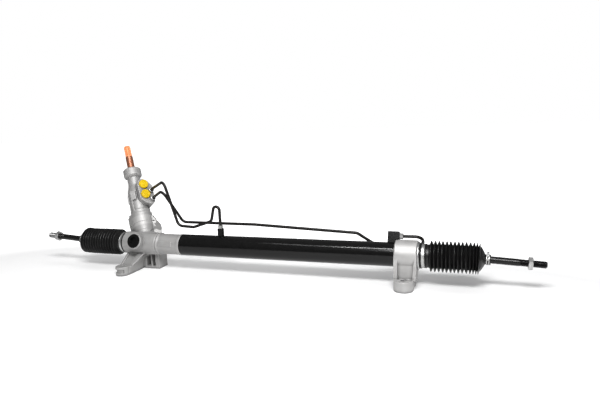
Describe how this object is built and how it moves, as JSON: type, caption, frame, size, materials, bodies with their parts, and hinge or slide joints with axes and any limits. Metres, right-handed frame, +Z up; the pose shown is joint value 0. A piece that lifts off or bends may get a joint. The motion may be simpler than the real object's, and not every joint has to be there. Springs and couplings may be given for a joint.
{
  "type": "steering gear",
  "caption": "Hydraulic power rack-and-pinion steering gear: cast housing with leaning valve tower, black cylinder tube, feed pipes, rubber boots and inner tie rods.",
  "frame": {"origin": "centre of the right mounting bolt hole on the mounting plane", "axes": "+X along the rack to the right end (away from the valve tower), +Y to the back of the gear, away from the right mounting bolt's side, +Z up out of the mounting plane"},
  "size_m": [1.1891, 0.182, 0.2958],
  "materials": {
    "cast_aluminium": "satin as-cast, fine grain",
    "bearing_steel": "ground",
    "zinc_plate": "bright zinc plate",
    "black_paint": "gloss",
    "black_rod": "semi-gloss black finish",
    "copper_steel": "copper-coloured protective coat, glossy",
    "black_rubber": "satin",
    "nylon": "moulded",
    "yellow_plastic": "moulded"
  },
  "bodies": {
    "housing": {"rack_housing": "cast_aluminium", "cylinder_tube": "black_paint", "left_cylinder_port": "black_paint", "right_cylinder_port": "black_paint", "right_bracket": "cast_aluminium", "end_retainer": "zinc_plate", "rack_bush": "nylon", "right_rack_seal": "black_rubber", "left_rack_seal": "black_rubber", "left_seal_holder": "bearing_steel", "rack_guide": "cast_aluminium", "rack_guide_pad": "nylon", "guide_spring": "bearing_steel", "guide_plug": "black_paint", "pinion_needle_bearing": "bearing_steel", "bearing_outer_race": "bearing_steel", "bearing_balls": "bearing_steel", "valve_housing": "cast_aluminium", "flange_o_ring": "black_rubber", "flange_bolts": "zinc_plate", "pinion_seal": "black_rubber", "input_bearing": "bearing_steel", "shaft_seal": "black_rubber", "return_cap": "yellow_plastic", "pressure_cap": "yellow_plastic", "valve_pipe_nuts": "zinc_plate", "cylinder_pipe_nuts": "zinc_plate", "left_feed_pipe": "black_paint", "right_feed_pipe": "black_paint", "left_boot": "black_rubber", "right_boot": "black_rubber", "left_boot_band": "zinc_plate", "right_boot_band": "zinc_plate"},
    "rack": {"rack": "bearing_steel", "piston": "bearing_steel", "piston_ring": "nylon", "left_ball_socket": "bearing_steel", "right_ball_socket": "bearing_steel"},
    "pinion": {"pinion": "bearing_steel", "torsion_bar": "bearing_steel", "torsion_pin": "bearing_steel", "valve_sleeve": "bearing_steel", "sleeve_rings": "nylon", "bearing_inner_race": "bearing_steel"},
    "input_shaft": {"input_shaft": "copper_steel"},
    "left_seat": {"left_ball_seat": "nylon"},
    "left_rod": {"left_tie_rod": "black_rod", "left_lock_nut": "zinc_plate", "left_boot_clip": "zinc_plate"},
    "right_seat": {"right_ball_seat": "nylon"},
    "right_rod": {"right_tie_rod": "black_rod", "right_lock_nut": "zinc_plate", "right_boot_clip": "zinc_plate"}
  },
  "joints": [
    {"name": "rack_slide", "type": "slide", "parent": "housing", "child": "rack", "axis": [1, 0, 0], "range_m": [-0.066, 0.074], "deforming": ["left_boot", "right_boot"]},
    {"name": "pinion_spin", "type": "hinge", "parent": "housing", "child": "pinion", "pos_m": [-0.636, 0.0495, 0.05836], "axis": [-0.3665, 0.3182, 0.8743], "range_deg": [-450, 500]},
    {"name": "valve_twist", "type": "hinge", "parent": "pinion", "child": "input_shaft", "pos_m": [-0.636, 0.0495, 0.05836], "axis": [-0.3665, 0.3182, 0.8743], "range_deg": [-5, 5], "stiffness_Nm_per_rad": 70},
    {"name": "left_rod_yaw", "type": "hinge", "parent": "rack", "child": "left_seat", "pos_m": [-0.783, 0.034, 0.064], "axis": [0, 0, 1], "range_deg": [-12, 12], "deforming": ["left_boot"]},
    {"name": "left_rod_pitch", "type": "hinge", "parent": "left_seat", "child": "left_rod", "pos_m": [-0.783, 0.034, 0.064], "axis": [0, 1, 0], "range_deg": [-16, 16], "deforming": ["left_boot"]},
    {"name": "right_rod_yaw", "type": "hinge", "parent": "rack", "child": "right_seat", "pos_m": [0.125, 0.034, 0.064], "axis": [0, 0, 1], "range_deg": [-12, 12], "deforming": ["right_boot"]},
    {"name": "right_rod_pitch", "type": "hinge", "parent": "right_seat", "child": "right_rod", "pos_m": [0.125, 0.034, 0.064], "axis": [0, 1, 0], "range_deg": [-16, 16], "deforming": ["right_boot"]}
  ],
  "couplings": [
    {"joint": "pinion_spin", "follows": "rack_slide", "rad_per_m": 116.3}
  ]
}
